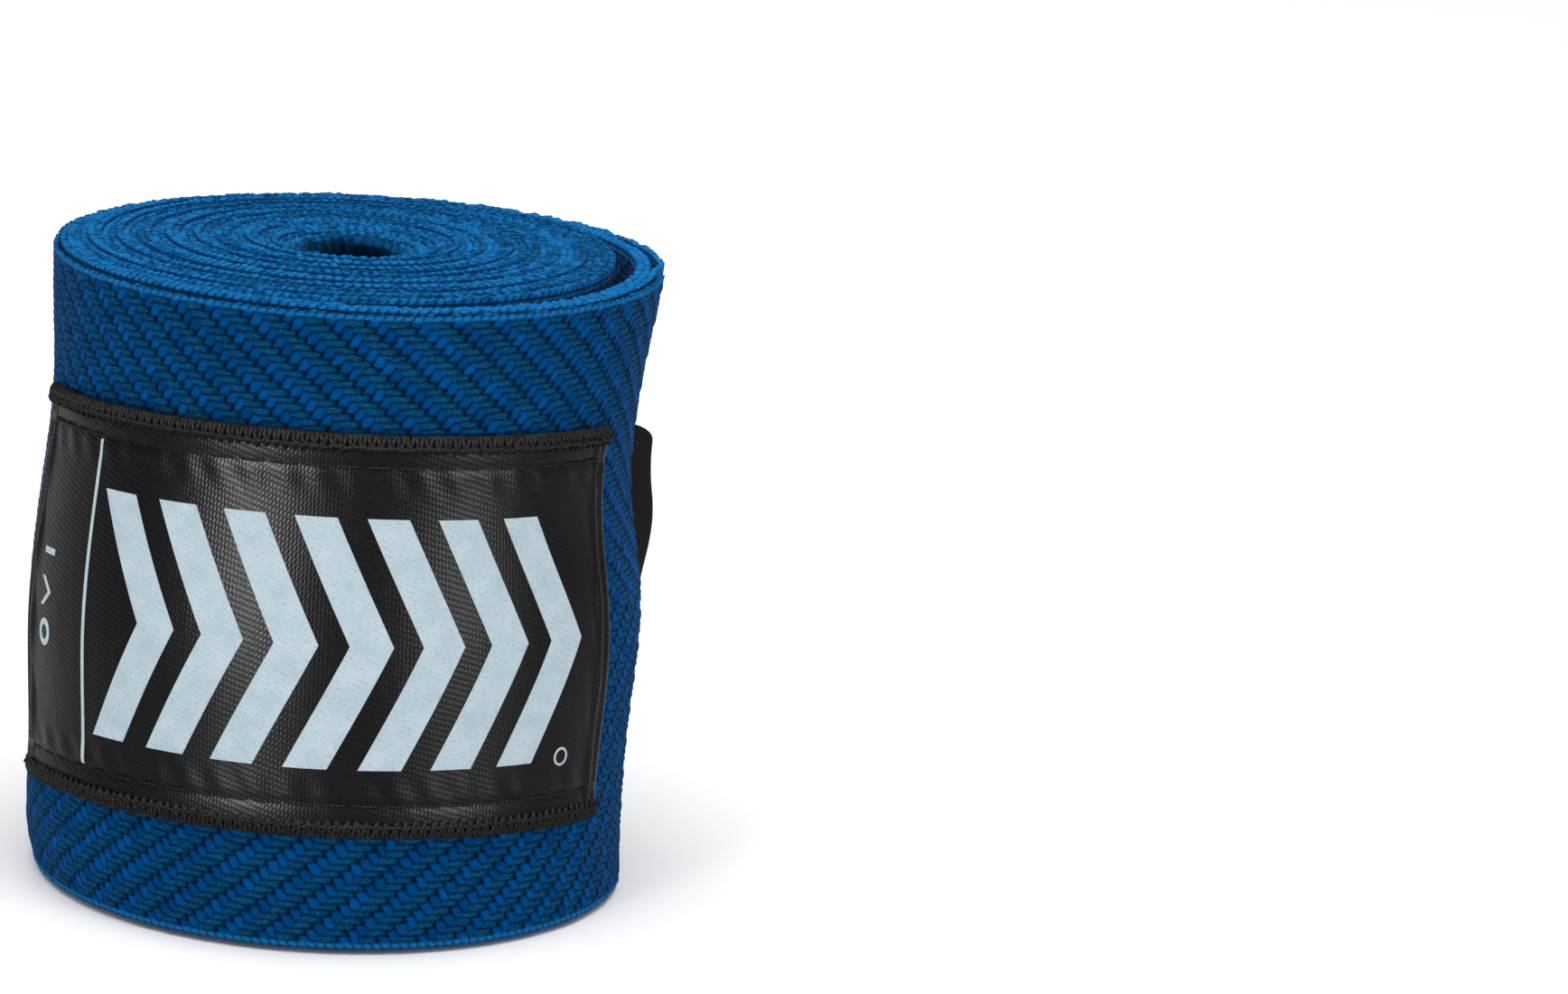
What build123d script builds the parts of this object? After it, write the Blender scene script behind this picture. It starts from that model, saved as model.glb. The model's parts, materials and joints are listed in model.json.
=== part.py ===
"""A boxing hand wrap, rolled up: a woven cotton strip wound into a drum that stands on one edge.

Millimetres, +Z up. The origin is under the middle of the bounding box, on the surface that the roll stands on.
Angles are in degrees about +Z, counter-clockwise seen from above, and 0 is the front of the roll (-Y).
"""
from build123d import *
import math
import os

os.makedirs("parts", exist_ok=True)

# Driving dimensions -------------------------------------------------------------------------------

STRIP_WIDTH = 50.8          # the two-inch width of the cloth, upright in the roll
STRIP_THICKNESS = 0.44
TURN_PITCH = 0.54           # from one turn to the next
CORE_RADIUS = 2.1           # the empty eye in the middle of the roll
HALF_TURNS = 76             # wound half turns, before the free tab
TAB_STANDOFF = 1.1          # how much the tab's arc outgrows the turn that it leaves
TAB_EDGE_LIFT = 0.3         # the tab hangs this far inside both edges of the roll

TAB_ANGLES = [-96, -52, -8, 36, 84]     # fold lines of the tab, the last one its free end
SEGMENT_GAP = 0.12          # between neighbouring stretches of the tab
LAYER_GAP = 0.01            # between one layer and the next

LABEL_THICKNESS = 0.20
LABEL_ANGLES = (-74, 63.6)
LABEL_BOTTOM, LABEL_TOP = 9.9, 40.7
OVERLOCK_WIDTH = 1.6        # the stitched edging around the label
OVERLOCK_PROUD = 0.20
SEAM_INSET = 2.2            # from the label's edge to the seam that holds it on
SEAM_THREAD = 0.30
SEAM_PROUD = 0.12
STITCH_LENGTH = 2.0
STITCH_PITCH = 2.7
RULE_ANGLE = -49.5          # a printed upright line near the label's left end
RULE_WIDTH = 0.35
RULE_LENGTH = 25.6
PRINT_THICKNESS = 0.05

TAPE_WIDTH = 25.4           # one-inch hook and loop tape
HOOK_THICKNESS = 0.55
HOOK_ANGLES = (10, 90)      # the hook tape reaches past the strip's end
LOOP_THICKNESS = 0.45
LOOP_ANGLES = (-30, 83)
TAPE_SEAM_INSET = 2.0

THUMB_LOOP_WIDTH = 14.0
THUMB_LOOP_TOP = 44.0
THUMB_LOOP_LENGTH, THUMB_LOOP_BREADTH = 2.8, 1.5
THUMB_LOOP_THICKNESS = 0.40
THUMB_LOOP_OFFSET = 1.10    # from the middle of the core, towards the strip's inner end
TACK_COUNT, TACK_PITCH = 5, 2.4
TACK_WIDTH, TACK_HEIGHT = 0.5, 1.2
TACK_GAP = 0.04

# The winding ---------------------------------------------------------------------------------------


def toward(angle):
    """The unit vector that points from the roll's middle to that angle."""
    return Vector(math.sin(math.radians(angle)), -math.cos(math.radians(angle)))


def degrees_along(length, radius):
    return math.degrees(length / radius)


base_direction = toward(TAB_ANGLES[0])
last_radius = CORE_RADIUS + STRIP_THICKNESS / 2 + (HALF_TURNS - 1) * TURN_PITCH / 2
tab_radius = last_radius + TAB_STANDOFF
tab_offset = base_direction * (TURN_PITCH / 2 - TAB_STANDOFF)   # the tab's centre from the first half turn's

strip_inner, strip_outer = tab_radius - STRIP_THICKNESS / 2, tab_radius + STRIP_THICKNESS / 2
label_inner = strip_outer + LAYER_GAP
label_outer = label_inner + LABEL_THICKNESS
trim_inner = label_outer + LAYER_GAP
overlock_outer = trim_inner + OVERLOCK_PROUD

# The box around everything, before it is centred: the outer side of the tab's strip makes the left side,
# its free end the right side, the label's edging the front, and the last wound half turn the back.
left = tab_offset.X - strip_outer
right = tab_offset.X + strip_outer * toward(TAB_ANGLES[-1]).X
front = tab_offset.Y - overlock_outer
back = base_direction.Y * TURN_PITCH / 2 + last_radius + STRIP_THICKNESS / 2

even_centre = Vector(-(left + right) / 2, -(front + back) / 2)
odd_centre = even_centre + base_direction * TURN_PITCH / 2
tab_centre = even_centre + tab_offset
beneath_outer = last_radius - TURN_PITCH / 2 + STRIP_THICKNESS / 2      # the turn that the tab covers
hinge_radius = overlock_outer


def curved_plates(centre, plates):
    """Plates that follow arcs about one centre. Each is (inner radius, outer radius, from, to, bottom, top)."""
    with BuildPart() as piece:
        for inner, outer, start, end, bottom, top in plates:
            with BuildSketch(Plane.XY.offset(bottom)):
                with BuildLine():
                    inside = CenterArc((centre.X, centre.Y), inner, start - 90, end - start)
                    outside = CenterArc((centre.X, centre.Y), outer, start - 90, end - start)
                    Line(inside @ 0, outside @ 0)
                    Line(inside @ 1, outside @ 1)
                make_face()
            extrude(amount=top - bottom)
    return piece


def save(piece, name):
    piece.part.label = name
    export_step(piece.part, f"parts/{name}.step")


# The wound strip: half turns about two centres in turn, each wider than the one before -------------

with BuildPart() as wound_strip:
    with BuildSketch():
        with BuildLine():
            for half_turn in range(HALF_TURNS):
                centre = odd_centre if half_turn % 2 else even_centre
                radius = CORE_RADIUS + STRIP_THICKNESS / 2 + half_turn * TURN_PITCH / 2
                start = TAB_ANGLES[0] - 90 + 180 * (half_turn % 2)
                inside = CenterArc((centre.X, centre.Y), radius - STRIP_THICKNESS / 2, start, 180)
                outside = CenterArc((centre.X, centre.Y), radius + STRIP_THICKNESS / 2, start, 180)
                if half_turn == 0:
                    Line(inside @ 0, outside @ 0)
            Line(inside @ 1, outside @ 1)
        make_face()
    extrude(amount=STRIP_WIDTH)
save(wound_strip, "wound_strip")

# The thumb loop, folded flat in the core and tacked to the strip's inner end -----------------------

loop_middle = even_centre + base_direction * THUMB_LOOP_OFFSET
loop_plane = Plane(
    origin=(loop_middle.X, loop_middle.Y, THUMB_LOOP_TOP - THUMB_LOOP_WIDTH),
    x_dir=(-base_direction.Y, base_direction.X, 0),
    z_dir=(0, 0, 1),
)
with BuildPart() as thumb_loop:
    with BuildSketch(loop_plane):
        SlotOverall(THUMB_LOOP_LENGTH, THUMB_LOOP_BREADTH)
        SlotOverall(
            THUMB_LOOP_LENGTH - 2 * THUMB_LOOP_THICKNESS,
            THUMB_LOOP_BREADTH - 2 * THUMB_LOOP_THICKNESS,
            mode=Mode.SUBTRACT,
        )
    extrude(amount=THUMB_LOOP_WIDTH)
save(thumb_loop, "thumb_loop")

tack_reach = CORE_RADIUS - THUMB_LOOP_OFFSET - THUMB_LOOP_BREADTH / 2 - 2 * TACK_GAP
tack_middle = even_centre + base_direction * (CORE_RADIUS - TACK_GAP - tack_reach / 2)
tack_plane = Plane(
    origin=(tack_middle.X, tack_middle.Y, THUMB_LOOP_TOP - THUMB_LOOP_WIDTH / 2),
    x_dir=(base_direction.X, base_direction.Y, 0),
    z_dir=(0, 0, 1),
)
with BuildPart() as thumb_loop_stitching:
    for tack in range(TACK_COUNT):
        with BuildSketch(tack_plane.offset((tack - (TACK_COUNT - 1) / 2) * TACK_PITCH)):
            Rectangle(tack_reach, TACK_WIDTH)
        extrude(amount=TACK_HEIGHT / 2, both=True)
save(thumb_loop_stitching, "thumb_loop_stitching")

# The loop tape and its seam, on the turn that the tab covers ---------------------------------------

tape_bottom = (STRIP_WIDTH - TAPE_WIDTH) / 2
tape_top = tape_bottom + TAPE_WIDTH
loop_inner = beneath_outer + LAYER_GAP
loop_outer = loop_inner + LOOP_THICKNESS
loop_tape = curved_plates(even_centre, [(loop_inner, loop_outer, *LOOP_ANGLES, tape_bottom, tape_top)])
save(loop_tape, "loop_tape")


def seam(radius, first, last, height):
    """One row of stitches from the first angle to the last, at that height."""
    pitch = degrees_along(STITCH_PITCH, radius)
    length = degrees_along(STITCH_LENGTH, radius)
    count = int((last - first - length) / pitch) + 1
    return [
        (radius, radius + SEAM_PROUD, first + n * pitch, first + n * pitch + length,
         height - SEAM_THREAD / 2, height + SEAM_THREAD / 2)
        for n in range(count)
    ]


def upright_seam(radius, angle, bottom, top):
    """One column of stitches at that angle, from the bottom height to the top one."""
    half = degrees_along(SEAM_THREAD, radius) / 2
    count = int((top - bottom - STITCH_LENGTH) / STITCH_PITCH) + 1
    return [
        (radius, radius + SEAM_PROUD, angle - half, angle + half,
         bottom + n * STITCH_PITCH, bottom + n * STITCH_PITCH + STITCH_LENGTH)
        for n in range(count)
    ]


inset_angle = degrees_along(TAPE_SEAM_INSET, loop_outer)
tape_seam_radius = loop_outer + LAYER_GAP
tape_seams = []
for height in (tape_bottom + TAPE_SEAM_INSET, tape_top - TAPE_SEAM_INSET):
    # The seam stops before the hook tape, which lies over the rest of the loop tape.
    tape_seams += seam(tape_seam_radius, LOOP_ANGLES[0] + inset_angle, HOOK_ANGLES[0] - inset_angle, height)
loop_tape_stitching = curved_plates(even_centre, tape_seams)
save(loop_tape_stitching, "loop_tape_stitching")

# The free tab, in stretches that fold outwards at the fold lines -----------------------------------

half_gap = degrees_along(SEGMENT_GAP / 2, strip_outer)
seam_angle = degrees_along(SEAM_INSET, label_outer)

for stretch in range(len(TAB_ANGLES) - 1):
    number = stretch + 1
    start = TAB_ANGLES[stretch] + half_gap
    end = TAB_ANGLES[stretch + 1] - (half_gap if number < len(TAB_ANGLES) - 1 else 0)

    strip_tab = curved_plates(
        tab_centre, [(strip_inner, strip_outer, start, end, TAB_EDGE_LIFT, STRIP_WIDTH - TAB_EDGE_LIFT)]
    )
    save(strip_tab, f"strip_tab_{number}")

    label_start, label_end = max(start, LABEL_ANGLES[0]), min(end, LABEL_ANGLES[1])
    label = curved_plates(
        tab_centre, [(label_inner, label_outer, label_start, label_end, LABEL_BOTTOM, LABEL_TOP)]
    )
    save(label, f"label_{number}")

    # The overlocked edging runs along the label's top and bottom and up both of its ends.
    overlock_angle = degrees_along(OVERLOCK_WIDTH, trim_inner)
    edges = [
        (trim_inner, overlock_outer, label_start, label_end, LABEL_BOTTOM, LABEL_BOTTOM + OVERLOCK_WIDTH),
        (trim_inner, overlock_outer, label_start, label_end, LABEL_TOP - OVERLOCK_WIDTH, LABEL_TOP),
    ]
    seam_start, seam_end = label_start + half_gap, label_end - half_gap
    stitches = []
    if label_start == LABEL_ANGLES[0]:
        edges.append(
            (trim_inner, overlock_outer, label_start, label_start + overlock_angle, LABEL_BOTTOM, LABEL_TOP)
        )
        seam_start = label_start + seam_angle
        stitches += upright_seam(
            trim_inner, seam_start, LABEL_BOTTOM + 2 * SEAM_INSET, LABEL_TOP - 2 * SEAM_INSET
        )
    if label_end == LABEL_ANGLES[1]:
        edges.append(
            (trim_inner, overlock_outer, label_end - overlock_angle, label_end, LABEL_BOTTOM, LABEL_TOP)
        )
        seam_end = label_end - seam_angle
        stitches += upright_seam(
            trim_inner, seam_end, LABEL_BOTTOM + 2 * SEAM_INSET, LABEL_TOP - 2 * SEAM_INSET
        )
    for height in (LABEL_BOTTOM + SEAM_INSET, LABEL_TOP - SEAM_INSET):
        stitches += seam(trim_inner, seam_start, seam_end, height)
    save(curved_plates(tab_centre, edges), f"overlock_thread_{number}")
    save(curved_plates(tab_centre, stitches), f"label_stitching_{number}")

    hook_start, hook_end = max(start, HOOK_ANGLES[0]), HOOK_ANGLES[1] if number == 4 else end
    if hook_start < end:
        hook_outer = strip_inner - LAYER_GAP
        hook_tape = curved_plates(
            tab_centre,
            [(hook_outer - HOOK_THICKNESS, hook_outer, hook_start, hook_end, tape_bottom, tape_top)],
        )
        save(hook_tape, f"hook_tape_{number}")

# The printed rule on the label ---------------------------------------------------------------------

half_rule = degrees_along(RULE_WIDTH / 2, trim_inner)
rule_bottom = (LABEL_BOTTOM + LABEL_TOP - RULE_LENGTH) / 2
printed_rule = curved_plates(
    tab_centre,
    [(trim_inner, trim_inner + PRINT_THICKNESS, RULE_ANGLE - half_rule, RULE_ANGLE + half_rule,
      rule_bottom, rule_bottom + RULE_LENGTH)],
)
save(printed_rule, "printed_rule")

wound_length = sum(
    math.pi * (CORE_RADIUS + STRIP_THICKNESS / 2 + n * TURN_PITCH / 2) for n in range(HALF_TURNS)
)
tab_length = tab_radius * math.radians(TAB_ANGLES[-1] - TAB_ANGLES[0])
print(f"strip length {wound_length + tab_length:.0f} mm, of which the tab is {tab_length:.1f} mm")
for angle in TAB_ANGLES[:-1]:
    hinge = tab_centre + toward(angle) * hinge_radius
    print(f"fold line at {angle} degrees: x {hinge.X:.3f}, y {hinge.Y:.3f}")
base_point = even_centre + base_direction * (last_radius - TURN_PITCH * 10 - TURN_PITCH / 2)
print(f"a point of the cloth on the base: x {base_point.X:.3f}, y {base_point.Y:.3f}")
print(f"centres: even {even_centre}, odd {odd_centre}, tab {tab_centre}, tab radius {tab_radius:.3f}")
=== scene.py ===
"""Looks for the rolled hand wrap: cloth, label, thread, tapes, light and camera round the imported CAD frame.

Shapes are worked out in millimetres about the frame's origin and turned into metres when a mesh is made.
Angles are degrees about +Z, 0 at the front (-Y) and growing towards +X, as in the CAD.
"""
import json
import math

import bpy
import numpy as np
from mathutils import Matrix, Vector


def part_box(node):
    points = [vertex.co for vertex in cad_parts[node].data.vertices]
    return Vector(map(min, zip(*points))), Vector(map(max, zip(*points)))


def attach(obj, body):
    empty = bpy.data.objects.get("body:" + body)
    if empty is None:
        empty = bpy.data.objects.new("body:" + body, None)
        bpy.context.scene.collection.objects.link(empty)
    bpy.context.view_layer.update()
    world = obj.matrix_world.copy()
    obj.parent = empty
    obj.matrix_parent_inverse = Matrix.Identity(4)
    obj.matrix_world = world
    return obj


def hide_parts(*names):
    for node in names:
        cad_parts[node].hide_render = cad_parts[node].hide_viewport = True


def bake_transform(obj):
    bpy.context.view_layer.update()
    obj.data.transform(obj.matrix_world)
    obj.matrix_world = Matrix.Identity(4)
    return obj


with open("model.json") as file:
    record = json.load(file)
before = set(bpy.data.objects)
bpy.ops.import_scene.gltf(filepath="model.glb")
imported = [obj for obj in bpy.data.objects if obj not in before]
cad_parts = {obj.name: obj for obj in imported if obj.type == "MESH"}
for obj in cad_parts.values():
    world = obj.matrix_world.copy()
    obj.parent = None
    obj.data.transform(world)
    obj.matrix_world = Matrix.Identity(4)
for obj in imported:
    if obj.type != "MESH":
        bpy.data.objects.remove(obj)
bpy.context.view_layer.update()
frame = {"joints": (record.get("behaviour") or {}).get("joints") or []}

MM = 0.001
chance = np.random.default_rng(12)

# The roll, as the CAD winds it ---------------------------------------------------------------------

STRIP_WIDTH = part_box("wound_strip")[1].z / MM
STRIP_THICKNESS = 0.44
TURN_PITCH = 0.54
CORE_RADIUS = 2.1
HALF_TURNS = 76
TAB_STANDOFF = 1.1
TAB_START, TAB_END = -96.0, 84.0
TAB_LOW, TAB_HIGH = (corner.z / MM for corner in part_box("strip_tab_1"))
LABEL_START, LABEL_END = -74.0, 61.6
LABEL_LOW, LABEL_HIGH = (corner.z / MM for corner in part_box("label_1"))
LABEL_THICKNESS = 0.20
HOOK_START, HOOK_END = 10.0, 90.0
LOOP_START, LOOP_END = -30.0, 83.0
LOOP_THICKNESS = 0.45
TAPE_LOW, TAPE_HIGH = (corner.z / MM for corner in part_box("loop_tape"))
WEFT_PITCH, WARP_PITCH = 0.63, 0.53      # crosswise yarns along the strip, lengthwise yarns across it
WEFT_OVER, WARP_OVER = 2, 3              # how many yarns each float passes over
REPEAT = WEFT_OVER + WARP_OVER
LEAN = 0.35                              # how far a crosswise float leans, in yarns per yarn it crosses
SELVEDGE_STITCH = 0.72                   # the pitch of the chain of stitches along the strip's edges


def toward(angle):
    """Unit vectors, in plan, that point to these angles."""
    a = np.radians(np.asarray(angle, float))
    return np.stack([np.sin(a), -np.cos(a)], -1)


FOLDS = [np.array(joint["pos_m"][:2]) / MM for joint in frame["joints"]]
FOLD_ANGLES = [-96.0, -52.0, -8.0, 36.0]

last_radius = CORE_RADIUS + STRIP_THICKNESS / 2 + (HALF_TURNS - 1) * TURN_PITCH / 2
tab_radius = last_radius + TAB_STANDOFF
hinge_radius = np.linalg.norm(FOLDS[1] - FOLDS[3]) / 2 / math.sin(math.radians(44))
tab_centre = FOLDS[0] - hinge_radius * toward(FOLD_ANGLES[0])
even_centre = tab_centre - toward(TAB_START) * (TURN_PITCH / 2 - TAB_STANDOFF)
odd_centre = even_centre + toward(TAB_START) * TURN_PITCH / 2
roll_radius = tab_radius + STRIP_THICKNESS / 2
label_radius = roll_radius + 0.01
label_face = label_radius + LABEL_THICKNESS

WOUND = 180.0 * HALF_TURNS      # degrees of winding before the tab
FULL = WOUND + 180.0


def spiral(winding):
    """Centre, radius, direction angle and arc length of the strip's middle, by degrees of winding."""
    winding = np.asarray(winding, float)
    half = np.clip(np.floor(winding / 180), 0, HALF_TURNS).astype(int)
    on_tab = half >= HALF_TURNS
    radii = CORE_RADIUS + STRIP_THICKNESS / 2 + np.arange(HALF_TURNS) * TURN_PITCH / 2
    radii = np.append(radii, tab_radius)
    lengths = np.concatenate([[0], np.cumsum(np.pi * radii)])
    centre = np.where((half % 2 == 1)[..., None], odd_centre, even_centre)
    centre = np.where(on_tab[..., None], tab_centre, centre)
    length = lengths[half] + np.radians(winding - 180 * half) * radii[half]
    return centre, radii[half], TAB_START + winding, length


def bump(x, middle, width):
    return np.exp(-(((x - middle) / width) ** 2))


def smooth(x):
    x = np.clip(x, 0, 1)
    return x * x * (3 - 2 * x)


CORE_SHIFT = np.array([1.2, 4.6])        # the core has crept towards the back of the roll
DISH_RADIUS, DISH_DEPTH = 9.5, 0.95      # the end face dips towards its middle
EYE_RADIUS, EYE_DEPTH = 3.9, 1.9         # the first turns have sunk further
EYE_SPREAD = 0.85                        # and have been pushed apart at the top


def settle(points):
    """How the wound cloth really lies: the roll leans and pinches in a little, and its middle has sunk."""
    p = np.array(points, float)
    offset = p[..., :2] - even_centre
    r = np.linalg.norm(offset, axis=-1)
    z = p[..., 2]
    side = offset / np.maximum(r, 1e-6)[..., None]
    right, front = side[..., 0], -side[..., 1]
    rim = bump(z, STRIP_WIDTH + 1, 7.5)
    waist = bump(z, 39.5, 8)
    belly = bump(z, 22, 7.5)
    foot = bump(z, 0, 2.2)
    swell = (
        rim * (0.15 + 0.75 * right + 0.35 * front)      # the rim opens to the right and the front
        - waist * (0.75 - 0.30 * right)                 # and the cloth is drawn in under it
        + belly * 0.50
        - foot * (0.35 - 0.45 * right)
    )
    swell -= 0.65 * bump(z, 33, 6) * np.clip(right, 0, 1) ** 2
    # Three soft folds, which turn a little as they rise.
    swell += 0.16 * np.sin(3 * np.arctan2(right, front) + 0.11 * z) * bump(z, 25, 20)
    reach = np.clip(r / roll_radius, 0, 1.1)
    p[..., :2] += side * (swell * reach**3)[..., None]
    p[..., :2] += CORE_SHIFT * np.clip(1 - reach, 0, 1)[..., None]
    upper = np.clip(z / STRIP_WIDTH, 0, 1) ** 3
    dish = DISH_DEPTH * smooth((DISH_RADIUS - r) / 6)
    eye = EYE_DEPTH * smooth((EYE_RADIUS - r) / 1.5)
    sunk = -dish - eye + 0.15 * bump(r, 16, 5)
    p[..., :2] += side * (EYE_SPREAD * bump(r, 1.9, 3.0) * upper)[..., None]
    p[..., 2] += upper * sunk
    return p


def turn_height(winding):
    """How far the strip's edges wander from turn to turn, from 0 to 1."""
    a = np.radians(winding)
    waves = np.sin(0.731 * a) + 0.8 * np.sin(0.277 * a + 1.1) + 0.7 * np.sin(1.913 * a + 0.4)
    return 0.5 + 0.2 * waves


# The weave: a twill of long floats that turns round along the middle of the strip ------------------


def wrapped(x):
    """x brought within half a repeat of nothing."""
    return np.mod(x + REPEAT / 2, REPEAT) - REPEAT / 2


def weave_height(length, height):
    """The relief of the cloth's face, from 0 in the gaps to 1 on the yarns. Both arguments are in yarns."""
    across = np.abs(height)
    twill = wrapped(length + across - REPEAT + 0.5)
    leaned = length - LEAN / (1 + LEAN) * twill
    i, fu = np.floor(leaned), np.mod(leaned, 1)
    j, fw = np.floor(across), np.mod(across, 1)
    weft_along = np.clip((np.mod(across + i, REPEAT) - WARP_OVER) / WEFT_OVER, 0, 1)
    weft = np.sqrt(4 * fu * (1 - fu)) * np.sqrt(np.sin(np.pi * weft_along))
    warp_reach = wrapped(length + j + 1 - WARP_OVER / 2 - 0.5) / (WARP_OVER * 0.95) + 0.5
    warp = np.sqrt(4 * fw * (1 - fw)) * np.sqrt(np.sin(np.pi * np.clip(warp_reach, 0, 1)))
    return np.maximum(weft, 0.88 * warp)


# Meshes --------------------------------------------------------------------------------------------


def mesh_object(name, points, quads, material, uv=None, others=()):
    """A smooth-shaded mesh object from points in millimetres, an array of quads and other faces."""
    points = np.asarray(points, np.float32) * np.float32(MM)
    quads = np.asarray(quads, np.int32).reshape(-1, 4)
    corners = np.concatenate([quads.ravel()] + [np.array(face, np.int32) for face in others])
    sizes = np.append(np.full(len(quads), 4), [len(face) for face in others]).astype(int)
    mesh = bpy.data.meshes.new(name)
    mesh.vertices.add(len(points))
    mesh.vertices.foreach_set("co", points.ravel())
    mesh.loops.add(len(corners))
    mesh.loops.foreach_set("vertex_index", corners)
    mesh.polygons.add(len(sizes))
    mesh.polygons.foreach_set("loop_start", (np.cumsum(sizes) - sizes).astype(np.int32))
    mesh.polygons.foreach_set("use_smooth", np.ones(len(sizes), bool))
    if uv is not None:
        layer = mesh.uv_layers.new(name="Cloth")
        layer.data.foreach_set("uv", np.asarray(uv, np.float32)[corners].ravel())
    mesh.materials.append(material)
    mesh.update(calc_edges=True)
    mesh.validate()
    piece = bpy.data.objects.new(name, mesh)
    bpy.context.scene.collection.objects.link(piece)
    return piece


def ring_faces(rings, sides):
    """Quads between that many rings, each of that many points, without end caps."""
    i, j = np.meshgrid(np.arange(rings - 1), np.arange(sides), indexing="ij")
    a = i * sides + j
    b = i * sides + (j + 1) % sides
    return np.stack([a, b, b + sides, a + sides], -1).reshape(-1, 4)


def mark_sharp(piece, chosen):
    """Marks sharp the edges for whose two vertices chosen holds, so that faces don't shade each other."""
    pairs = np.empty(2 * len(piece.data.edges), np.int32)
    piece.data.edges.foreach_get("vertices", pairs)
    pairs = pairs.reshape(-1, 2)
    mark = piece.data.attributes.new("sharp_edge", "BOOLEAN", "EDGE")
    mark.data.foreach_set("value", chosen(pairs[:, 0], pairs[:, 1]))


def closed_band(name, outline, material, uv):
    """A closed band from an array of rings, (rings, points around, 3), with capped ends."""
    rings, sides = outline.shape[:2]
    k = np.arange(sides // 2 - 1)
    cap = np.stack([k, k + 1, sides - 2 - k, sides - 1 - k], -1)
    quads = np.concatenate([ring_faces(rings, sides), cap[:, ::-1], cap + (rings - 1) * sides])
    band = mesh_object(name, outline.reshape(-1, 3), quads, material, uv.reshape(-1, 2))
    last = rings - 1
    mark_sharp(band, lambda a, b: (a // sides == b // sides) & ((a // sides == 0) | (a // sides == last)))
    return band


def roughly(length, scale, seed):
    """A wavering line between -1 and 1 that changes over about that many millimetres."""
    steady = np.random.default_rng(seed)
    knots = steady.uniform(-1, 1, int(np.max(length) / scale) + 3)
    return np.interp(np.asarray(length) / scale, np.arange(len(knots)), knots)


LOOSE_TURNS = 3
SPRUNG, SPRUNG_RIM, SPRUNG_BEYOND = 0.35, 1.25, 0.55     # all over, at the edges, past the tab's end


def loosen(winding, z):
    """How far the last few turns have sprung outwards around the tab's end, most of all at their edges."""
    from_end = np.mod(winding - WOUND, 360) - 180      # degrees round from under the tab's end
    window = smooth((from_end + 125) / 95) * smooth((135 - from_end) / 100)
    window = window * smooth((np.asarray(winding) - (WOUND - 360 * LOOSE_TURNS)) / 30) * (winding <= WOUND)
    rim = smooth((np.abs(z - STRIP_WIDTH / 2) - 13) / 9)
    beyond = smooth((from_end - 1) / 7) * smooth((75 - from_end) / 65) * (winding > WOUND - 360)
    return window * (SPRUNG + SPRUNG_RIM * rim + SPRUNG_BEYOND * beyond * rim)


def strip_rings(winding, low, high, columns, relief_out, relief_in, thickness=STRIP_THICKNESS):
    """Rings around the strip's section: up its outer face, over the top edge, down its inner face, under.

    The two faces have the same number of points, so that the ends can be capped straight across.
    """
    centre, radius, angle, length = spiral(winding)
    direction = toward(angle)
    share = np.linspace(0, 1, columns)
    edge = 0.20
    chain = np.abs(np.sin(np.pi * length / SELVEDGE_STITCH + 0.6 * roughly(length, 3.0, 3)))
    upper = high + 0.08 * chain + 0.12 * roughly(length, 0.30, 5) + 0.05 * roughly(length, 1.3, 15)
    lower = low + 0.08 * (1 - chain) + 0.04 * roughly(length, 0.33, 6) + 0.04
    z_face = lower[:, None] + edge + share * (upper - lower - 2 * edge)[:, None]
    half = thickness / 2
    v = (z_face - STRIP_WIDTH / 2) / WARP_PITCH
    u = np.broadcast_to((length / WEFT_PITCH)[:, None], v.shape)
    cloth = np.clip((STRIP_WIDTH / 2 - 0.9 - np.abs(z_face - STRIP_WIDTH / 2)) / 0.3, 0, 1)
    lift_out = relief_out * (weave_height(u, v) * cloth + (1 - cloth) * (0.45 + 0.5 * chain[:, None]) - 1)
    lift_in = (relief_in * (weave_height(u + 2, v) - 1))[:, ::-1]
    sway = 0.08 * roughly(length, 0.40, 8)
    top, bottom = 0.80 * half, 0.55 * half
    n = np.concatenate([
        half + lift_out,
        (top + sway)[:, None], (sway - top)[:, None],
        -half - lift_in,
        (sway - bottom)[:, None], (sway + bottom)[:, None],
    ], 1)
    z = np.concatenate([
        z_face,
        upper[:, None], upper[:, None],
        z_face[:, ::-1],
        lower[:, None], lower[:, None],
    ], 1)
    n = n + loosen(np.asarray(winding)[:, None], z)
    flat = centre[:, None, :] + direction[:, None, :] * (radius[:, None] + n)[..., None]
    points = np.concatenate([flat, z[..., None]], -1)
    along = np.broadcast_to((length / WEFT_PITCH)[:, None], z.shape)
    uv = np.stack([along, (z - STRIP_WIDTH / 2) / WARP_PITCH], -1)
    # Rolled so that a ring starts at the middle of the bottom edge, which pairs its points for the caps.
    return settle(np.roll(points, 1, axis=1)), np.roll(uv, 1, axis=1)


def steps(start, end, pitch, radius):
    count = max(2, int(math.radians(end - start) * radius / pitch) + 1)
    return np.linspace(start, end, count)


SKEW = np.array([0.31, 0.17, 0.93])      # a direction that few threads run in


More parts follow.
